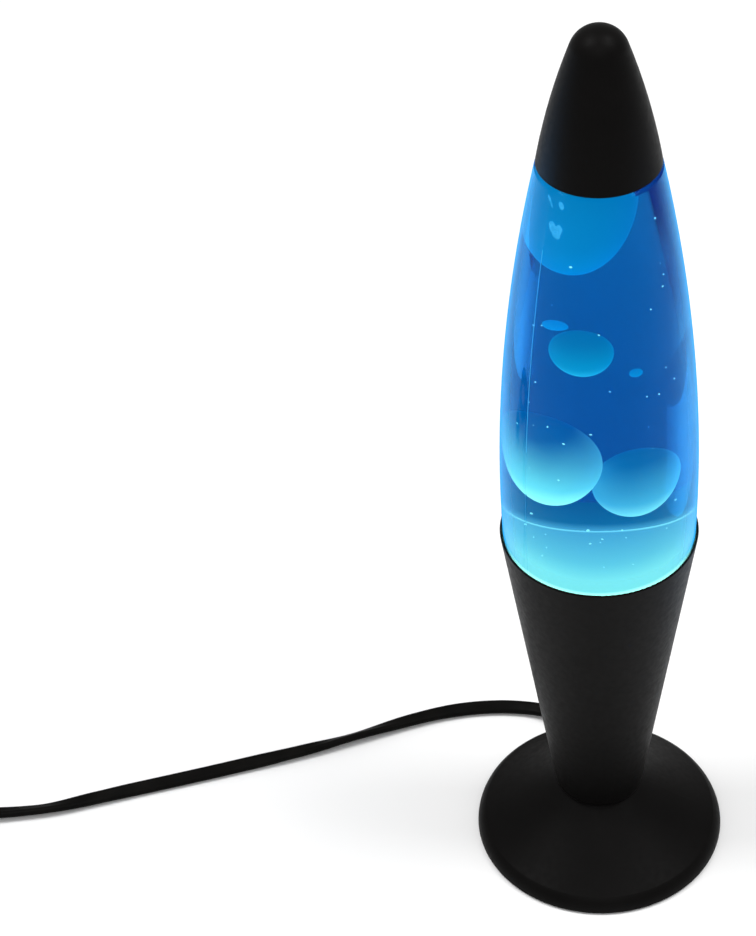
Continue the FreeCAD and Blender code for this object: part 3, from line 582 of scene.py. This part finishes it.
def shoulder(inset):
    """From the shoulder's edge up to the neck."""
    edge = CAP_RADIUS - 1 * MM - inset
    neck = NECK_RADIUS if inset == 0 else NECK_BORE - inset + GLASS_WALL
    foot = (19.8 * MM - inset / 2, CAP_SEAT)
    points = [(edge, CAP_SEAT - 0.2 * MM), (edge - 0.5 * MM, CAP_SEAT), foot]
    rise = 8 * MM - inset / 2
    points += [(neck + (foot[0] - neck) * t, CAP_SEAT + rise * (1 - t)) for t in (0.7, 0.4, 0.15)]
    return points + [(neck, CAP_SEAT + 8.5 * MM - inset / 2)]


SEAMS = [math.radians(a) for a in (-90 - 46, 90 - 46)]
RIDGE = 0.14 * MM
RIDGE_WIDTH = 0.20 * MM
SEAM_FROM, SEAM_TO = 0.36, 0.86  # where the seam is rough, as shares of the way from rim to cap


def make_glass():
    """The bottle, with the ridge that its two half moulds leave down each side."""
    outer = bottle_wall(0.0) + shoulder(0.0)
    lip = [(NECK_RADIUS, BOTTLE_LIP - 3.2 * MM)]
    lip += arc((NECK_RADIUS - 0.6 * MM, BOTTLE_LIP - 1.5 * MM), 1.5 * MM, -60, 90, 10)
    inner = bottle_wall(GLASS_WALL) + shoulder(GLASS_WALL)
    inner += [(NECK_BORE, BOTTLE_LIP - 0.6 * MM), (NECK_BORE + 0.6 * MM, BOTTLE_LIP)]
    outline = outer + lip + inner[::-1]
    angles = sorted({round(2 * math.pi * i / 240 - math.pi, 6) for i in range(240)}
                    | {round(s + k * 0.0026, 6) for s in SEAMS for k in range(-5, 6)})

    def ridge(row, angle):
        if row >= len(outer) or outline[row][1] < BOTTLE_LOW + 6 * MM:
            return 0.0
        away = min(abs(math.remainder(angle - s, 2 * math.pi)) for s in SEAMS) * outline[row][0]
        return RIDGE * math.exp(-((away / RIDGE_WIDTH) ** 2))

    glass = lathe("bottle", outline, angles, ridge)
    glass.data.materials.append(bottle_glass())
    glass.data.materials.append(wet_glass())
    glass.data.materials.append(seam_glass())
    for face in glass.data.polygons:
        middle = face.center
        within = math.hypot(middle.x, middle.y) < wall(middle.z) - GLASS_WALL / 2
        if within and BOTTLE_LOW + GLASS_WALL / 2 < middle.z < FILL:
            face.material_index = 1
        turn = math.atan2(middle.y, middle.x)
        off_seam = min(abs(math.remainder(turn - s, 2 * math.pi)) for s in SEAMS) * BELLY_RADIUS
        up = (middle.z - RIM) / (CAP_SEAT - RIM)
        if not within and off_seam < RIDGE_WIDTH and SEAM_FROM < up < SEAM_TO:
            face.material_index = 2
    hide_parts("glass_bottle")
    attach(glass, "bottle")


def make_liquid():
    """The liquid fills the bottle from its floor to the neck, against the glass."""
    inset = GLASS_WALL + LIQUID_GAP
    outline = bottle_wall(inset) + shoulder(inset)[:-1]
    outline = [(r, z) for r, z in outline if z < FILL - 0.5 * MM]
    outline += [(outline[-1][0], FILL - 0.3 * MM), (outline[-1][0] - 0.6 * MM, FILL), (0, FILL)]
    fill = lathe("blue_liquid", outline, 192)
    fill.data.materials.append(blue_liquid("blue_liquid", LIQUID_STEP))
    fill.data.materials.append(blue_liquid("liquid_surface", GLASS_STEP * LIQUID_STEP))
    for face in fill.data.polygons:
        if face.center.z > FILL - 0.2 * MM:
            face.material_index = 1
    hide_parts("liquid")
    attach(fill, "bottle")


CAP_TIP = 10.9 * MM  # radius of the ball tip
CAP_SIDE = 288 * MM  # radius of the side arc
CAP_THICK = 1.2 * MM
CAP_TALLER = 1.4 * MM  # the tip stands this far above the CAD's
CAP_EDGE = 0.3 * MM


def make_cap():
    """The hollow cap: long side arcs that run tangent into a ball tip."""
    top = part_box("top_cap")[1].z + CAP_TALLER
    ball = Vector((0, top - CAP_TIP))
    rim = Vector((CAP_RADIUS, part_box("top_cap")[0].z))
    down = rim - ball
    # The side arc's centre, the ball's centre and the point where they join lie on one line.
    between = CAP_SIDE - CAP_TIP
    along = (CAP_SIDE ** 2 - between ** 2 - down.length_squared) / (2 * between)
    join = math.degrees(math.atan2(down.y, down.x) + math.acos(along / down.length))
    way = Vector((math.cos(math.radians(join)), math.sin(math.radians(join))))
    centre = ball - way * between
    foot = math.degrees(math.asin((rim.y + CAP_EDGE - centre.y) / CAP_SIDE))
    outline = [(0, top)] + arc(ball, CAP_TIP, 90, join, 30)
    outline += arc(centre, CAP_SIDE, join, foot, 60)
    outline += [(CAP_RADIUS - CAP_EDGE, rim.y), (CAP_RADIUS - CAP_THICK + 0.1 * MM, rim.y)]
    outline += arc(centre, CAP_SIDE - CAP_THICK, foot, join, 40)
    outline += arc(ball, CAP_TIP - CAP_THICK, join, 88, 16) + [(0, top - CAP_THICK)]
    cap = lathe("rocket_cap", outline, 160)
    cap.data.materials.append(black_shell())
    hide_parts("top_cap")
    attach(cap, "cap")


make_glass()
make_liquid()
make_cap()


# ---------------------------------------------------------------- wax

ROOM = GLASS_WALL + 0.35 * MM  # wax stays this far inside the bottle's outer face
SOFT = 3 * MM  # wax starts to flatten this near to the glass


def blob(name, centre, half, seed, uneven):
    """A soft wax blob in the liquid; it flattens where it meets the glass."""
    bm = bmesh.new()
    bmesh.ops.create_icosphere(bm, subdivisions=6, radius=1.0)
    shift = Vector((seed * 3.7, seed * 1.3, seed * 2.9))
    for v in bm.verts:
        shape = v.co * (1 + uneven * noise.noise(v.co * 0.9 + shift))
        x, y, z = (centre[k] * MM + half[k] * MM * shape[k] for k in range(3))
        limit = wall(z, ROOM)
        reach = math.hypot(x, y)
        if reach > limit - SOFT:
            allowed = limit - SOFT * math.exp(-(reach - limit + SOFT) / SOFT)
            x, y = x * allowed / reach, y * allowed / reach
        v.co = (x, y, z)
    return smooth(add_mesh(name, bm), 180)


def make_wax():
    # (piece, node, body, centre, half-sizes, uneven, low, middle, high), in mm; the last three are
    # the painted glow's colours from bottom to top
    rows = [
        ("wax_under_cap", "wax_top", "bottle", (-8.6, 0, 341.3), (17.8, 21, 28.6), 0.02,
         (0.0, 0.68, 1.12), (0.0, 0.48, 0.80), (0.0, 0.38, 0.63)),
        ("wax_left", "wax_lower_left", "wax_lower_left", (-16, -8, 228.2), (16.9, 17.6, 19.4), 0.02,
         (5.6, 3.6, 2.0), (1.6, 1.8, 1.42), (0.0, 0.28, 0.56)),
        ("wax_right", "wax_lower_right", "wax_lower_right", (9.6, -1, 214), (11.3, 12.4, 15.2),
         0.02,
         (4.2, 2.9, 1.75), (0.95, 1.35, 1.2), (0.0, 0.43, 0.64)),
        ("wax_middle_blob", "wax_middle", "wax_middle", (-5, -8, 280.5), (9.1, 9.1, 9.1), 0.02,
         (0.3, 1.55, 1.4), (0.0, 0.80, 0.95), (0.0, 0.44, 0.64)),
        ("wax_sliver_left", "wax_bead_left", "bottle", (-14.8, -20.2, 299.6), (4.9, 2.2, 1.9), 0.06,
         (0.0, 0.75, 1.2), (0.0, 0.62, 1.15), (0.0, 0.5, 1.0)),
        ("wax_sliver_right", "wax_bead_right", "bottle", (12.5, -24, 280.5), (2.4, 2.1, 1.5), 0.06,
         (0.0, 0.72, 1.1), (0.0, 0.60, 1.0), (0.0, 0.5, 0.9)),
    ]
    for seed, row in enumerate(rows, 1):
        name, node, body, centre, half, uneven, low, middle, high = row
        piece = blob(name, centre, half, seed, uneven)
        piece.data.materials.append(wax(name, low, middle, high))
        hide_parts(node)
        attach(piece, body)


POOL_TOP = RIM + 6 * MM
POOL_DOME = 1.2 * MM  # the melt's surface stands this much higher in the middle
SKIN_FOLD = 0.9 * MM
FOLD_AT = 7 * MM  # how far behind the middle the melt's skin folds


def fold_line(x):
    """Where the fold crosses the melt: it bows a little towards the front."""
    return FOLD_AT + 4.5 * MM * (x / BELLY_RADIUS) ** 2 + 0.25 * MM * math.sin(x / (5 * MM) + 1)


def melt_top(share, reach, angle):
    """The melt's surface height at a share of its radius: a faint dome with a fold across it."""
    x, y = share * reach * math.cos(angle), share * reach * math.sin(angle)
    fold = math.exp(-(((y - fold_line(x)) / (0.5 * MM)) ** 2))
    return POOL_TOP - POOL_DOME * share ** 2 + SKIN_FOLD * fold


def make_pool():
    """The melted wax at the bottle's bottom, with a fold in its skin."""
    brink = POOL_TOP - POOL_DOME
    edge = wall(brink, ROOM)
    below = [p for p in bottle_wall(ROOM) if p[1] < brink - 1.5 * MM]
    turn = [(edge, brink - 0.7 * MM), (edge - 0.2 * MM, brink - 0.2 * MM)]
    shares = [0.98 - 0.014 * i for i in range(70)]
    bm = bmesh.new()
    angles = [2 * math.pi * i / 240 for i in range(240)]
    rows = []
    for r, z in below + turn:
        ring = [(r * math.cos(a), r * math.sin(a), z) for a in angles] if r > 0 else [(0, 0, z)]
        rows.append([bm.verts.new(at) for at in ring])
    for share in shares:
        r = share * edge
        ring = [(r * math.cos(a), r * math.sin(a), melt_top(share, edge, a)) for a in angles]
        rows.append([bm.verts.new(at) for at in ring])
    rows.append([bm.verts.new((0, 0, POOL_TOP))])
    grid_faces(bm, rows)
    bmesh.ops.recalc_face_normals(bm, faces=bm.faces)
    pool = smooth(add_mesh("wax_melt", bm), 180)
    pool.data.materials.append(melt_wax(edge))
    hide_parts("wax_pool", "wire_coil")
    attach(pool, "bottle")


def melt_wax(edge):
    """Melted wax over the bulb with a painted glow: painted shade beyond its fold, and the
    brightest painted glow on the fold and just below the rim.
    """
    s = Shader("wax_melt", Roughness=0.45, Specular_IOR_Level=0.2)
    place = s.place()
    parts = s.node("ShaderNodeSeparateXYZ", {"Vector": place}).outputs
    flat = s.node("ShaderNodeCombineXYZ", {"X": parts["X"], "Y": parts["Y"]}).outputs[0]
    out = s.node("ShaderNodeVectorMath", {0: flat}, operation="LENGTH").outputs["Value"]
    cloud = s.noise(26, 3)
    share = s.span(out, 0.0, edge, 0.0, 1.0)
    above = s.maths("MULTIPLY_ADD", s.maths("MULTIPLY", share, share), POOL_DOME, parts["Z"])
    fold = s.span(above, POOL_TOP + 0.25 * MM, POOL_TOP + 0.8 * MM, 0.0, 1.0)
    share = s.maths("ADD", share, s.maths("MULTIPLY_ADD", cloud, 0.2, -0.1))
    # painted glow of the melt, a little brighter towards its edge
    stops = [(0.1, (1.8, 1.6, 1.2)), (0.6, (1.75, 1.6, 1.2)), (0.95, (2.2, 1.8, 1.28))]
    # painted shade: behind the fold the glow turns a dim teal
    far = s.span(parts["Y"], FOLD_AT + 1.5 * MM, FOLD_AT + 8 * MM, 0.0, 1.0)
    body = s.mix(far, s.ramp(share, stops), (0.05, 0.65, 0.66, 1))
    # painted highlight: a bright band just below the rim, which with the fold takes the brightest
    # painted glow
    low = s.span(parts["Z"], RIM - 2.6 * MM, RIM - 0.8 * MM, 1.0, 0.0)
    deep = s.span(parts["Z"], RIM - 13 * MM, RIM - 5 * MM, 0.0, 1.0)
    painted_bright_mask = s.maths("MAXIMUM", fold, s.maths("MULTIPLY", low, deep))
    s.glow(s.mix(painted_bright_mask, body, (6.0, 3.4, 2.0, 1)))
    s.set("Base Color", s.ramp(cloud, [(0.3, WAX_DARK), (0.7, WAX_LIGHT)]))
    return s.material


def make_specks():
    """Grains of wax and small bubbles that drift in the liquid near the glass, with a painted glow.
    """
    rng = random.Random(11)
    noise.seed_set(11)  # or noise_vector would take the time of day as its seed
    bm = bmesh.new()
    places = [(rng.uniform(-55, 55), rng.uniform(190, 215)) for _ in range(16)]
    places += [(rng.uniform(-60, 60), rng.uniform(225, 340)) for _ in range(26)]
    for i, (turn, height) in enumerate(places):
        z = height * MM
        turn = math.radians(turn - 90)
        out = wall(z, ROOM) - rng.uniform(0.6, 2.5) * MM
        size = rng.uniform(0.16, 0.34) * MM * (1.25 if i < 16 else 1.0)
        at = Matrix.Translation((out * math.cos(turn), out * math.sin(turn), z))
        squash = Matrix.Diagonal((rng.uniform(0.9, 2.0), 1.0, rng.uniform(0.7, 1.2), 1.0))
        tilt = Matrix.Rotation(rng.uniform(-0.5, 0.5), 4, "Y")
        place = at @ tilt @ squash
        made = bmesh.ops.create_icosphere(bm, subdivisions=2, radius=size, matrix=place)
        for v in made["verts"]:
            v.co += 0.25 * size * noise.noise_vector(v.co * 4000)
    specks = smooth(add_mesh("wax_specks", bm), 180)
    s = Shader("wax_specks", Roughness=0.4)
    # painted glints: the specks glow, some of them brightly
    s.glow(s.ramp(s.noise(60, 2), [(0.3, (0.9, 1.0, 1.1)), (0.7, (4.0, 2.6, 1.7))]))
    s.mottle((0.3, 0.5, 0.6), (0.5, 0.7, 0.8), 80, 2)
    specks.data.materials.append(s.material)
    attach(specks, "bottle")


# Flat glowing patches on the glass under the cap: a painted reflection, shaped as wax smears.
# (degrees left of the front, height, half-width, half-height, lean), in mm and degrees.
PAINTED_GLINTS = [
    (44.0, 341.2, 1.5, 1.3, 35), (42.0, 340.2, 1.9, 1.5, 25), (36.2, 340.8, 1.4, 1.7, -20),
    (39.5, 339.6, 2.5, 1.9, 0), (38.2, 338.0, 1.7, 1.5, 10), (50, 349.4, 0.5, 2.4, 30),
    (36.6, 349.8, 1.1, 1.6, 15),
]


def make_painted_glints():
    """Glowing patches on the bottle's inner face: a painted reflection, shaped as thin smears of
    wax.
    """
    bm = bmesh.new()
    for turn, height, wide, high, lean in PAINTED_GLINTS:
        turn = math.radians(-90 - turn)
        out = wall(height * MM, GLASS_WALL + 0.3 * MM)
        at = Matrix.Translation((out * math.cos(turn), out * math.sin(turn), height * MM))
        face = Matrix.Rotation(turn, 4, "Z") @ Matrix.Rotation(math.radians(lean), 4, "X")
        flat = Matrix.Diagonal((0.22 * MM, wide * MM, high * MM, 1.0))
        made = bmesh.ops.create_icosphere(bm, subdivisions=4, radius=1.0, matrix=at @ face @ flat)
        for v in made["verts"]:
            v.co += 0.35 * MM * noise.noise(v.co * 900) * Vector((0, 0, 1))
    smears = smooth(add_mesh("painted_glints", bm), 180)
    s = Shader("painted_glints", Roughness=0.5)
    # painted reflection: the patches glow blue-white
    s.glow(s.ramp(s.noise(500, 3), [(0.35, (0.2, 0.70, 1.0)), (0.65, (0.45, 0.92, 1.2))]))
    s.mottle((0.03, 0.12, 0.16), (0.05, 0.16, 0.2), 80, 2)
    smears.data.materials.append(s.material)
    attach(smears, "bottle")


make_wax()
make_pool()
make_specks()
make_painted_glints()


# ---------------------------------------------------------------- CAD pieces and their finishes


def paint(material, *names):
    """Give CAD pieces a material in place of their own."""
    for name in names:
        piece = nodes[name]
        piece.data.materials.clear()
        piece.data.materials.append(material)


def bulb_glass():
    """Frosted glass of the lit bulb."""
    s = Shader("bulb_glass", Roughness=0.35, Specular_IOR_Level=0.5)
    s.mottle((0.70, 0.70, 0.66), (0.80, 0.80, 0.77), 70, 2)
    s.glow((1.0, 0.86, 0.62, 1))
    s.main.inputs["Emission Strength"].default_value = 1.2
    return s.material


def filament():
    s = Shader("filament", Metallic=1.0)
    s.mottle((0.9, 0.7, 0.4), (1, 0.85, 0.6), 900, 2)
    return s.material


def paint_all():
    paint(black_shell(), "base_cone", "foot_shell")
    paint(black_moulding(), "bottom_plate", "switch_lower_half", "switch_upper_half", "plug_body",
          "holder_cap", "holder_body")
    paint(gloss_black(), "switch_rocker")
    paint(lead_sheath(), "strain_relief")
    paint(pad_rubber(), "rubber_pads")
    paint(metal("steel", (0.42, 0.42, 0.41), (0.62, 0.62, 0.60)), "plate_screws", "tie_washers",
          "tie_tube", "tie_nuts", "switch_screws")
    paint(metal("crown_tin", (0.62, 0.55, 0.36), (0.78, 0.72, 0.52)), "crown_cap")
    paint(plastic("liner", (0.62, 0.62, 0.58), (0.72, 0.72, 0.68)), "crown_liner")
    paint(metal("brass", (0.58, 0.40, 0.15), (0.78, 0.58, 0.26)), "holder_screw_shell",
          "holder_contact", "switch_contacts")
    paint(plastic("holder_core", (0.68, 0.64, 0.55), (0.78, 0.74, 0.66), (0.15, 0.3)),
          "holder_core")
    paint(metal("bulb_base", (0.60, 0.60, 0.60), (0.78, 0.78, 0.78), (0.3, 0.42)),
          "bulb_screw_base", "bulb_contact")
    paint(plastic("bulb_black_glass", (0.012, 0.012, 0.02), (0.02, 0.02, 0.03), (0.1, 0.2)),
          "bulb_insulator")
    paint(metal("pin_metal", (0.66, 0.66, 0.66), (0.82, 0.82, 0.82), (0.12, 0.22)), "plug_pins")
    paint(plastic("live", (0.10, 0.04, 0.015), (0.14, 0.06, 0.02)), "lead_live")
    paint(plastic("neutral", (0.02, 0.08, 0.32), (0.03, 0.11, 0.40)), "lead_neutral")
    paint(bulb_glass(), "bulb_glass", "bulb_stem")
    paint(filament(), "bulb_filament")


paint_all()


# ---------------------------------------------------------------- floor and light


def make_floor():
    """A plain pale floor that runs far past the view."""
    bm = bmesh.new()
    bmesh.ops.create_circle(bm, cap_ends=True, segments=64, radius=4.0)
    floor = add_mesh("floor", bm)
    s = Shader("floor", Roughness=0.85, Specular_IOR_Level=0.1)
    s.mottle((0.88, 0.88, 0.88), (0.89, 0.89, 0.89), 3, 2)
    floor.data.materials.append(s.material)


SKY = 0.6
MIDDLE = (0, 0, 0.2)
WHITE = (1, 1, 1)
AZURE = (0.02, 0.42, 1.0)
# Three large boxes above, and two weak blue strips at the back for the bottle's sides:
# (name, place, aim, size, watts, colour, spread in degrees).
LIGHTS = [
    ("front_box", (0, -1.5, 1.9), MIDDLE, (1.4, 1.0), 8, WHITE, 180),
    ("left_box", (-0.85, -0.05, 1.9), MIDDLE, (0.6, 0.8), 17, WHITE, 180),
    ("right_box", (0.85, -0.05, 1.9), MIDDLE, (0.6, 0.8), 17, WHITE, 180),
    ("left_strip", (-0.42, 0.14, 0.02), (-0.12, 0.04, 0.20), (0.5, 0.16), 0.22, AZURE, 50),
    ("right_strip", (0.25, 0.08, 0.02), (-0.05, 0, 0.26), (0.30, 0.12), 0.10, AZURE, 60),
]


def area_light(name, at, towards, size, power, colour, spread):
    """A soft rectangular light."""
    data = bpy.data.lights.new(name, "AREA")
    data.shape = "RECTANGLE"
    data.size, data.size_y = size
    data.energy = power
    data.color = colour
    data.spread = math.radians(spread)
    light = bpy.data.objects.new(name, data)
    light.location = at
    way = Vector(towards) - Vector(at)
    light.rotation_euler = way.to_track_quat("-Z", "Y").to_euler()
    bpy.context.scene.collection.objects.link(light)


def make_light():
    world = bpy.data.worlds.new("world")
    bpy.context.scene.world = world
    world.use_nodes = True
    sky = world.node_tree.nodes["Background"]
    sky.inputs["Color"].default_value = CLEAR
    sky.inputs["Strength"].default_value = SKY
    for light in LIGHTS:
        area_light(*light)
    bpy.context.scene.view_settings.view_transform = "Standard"


make_floor()
make_light()
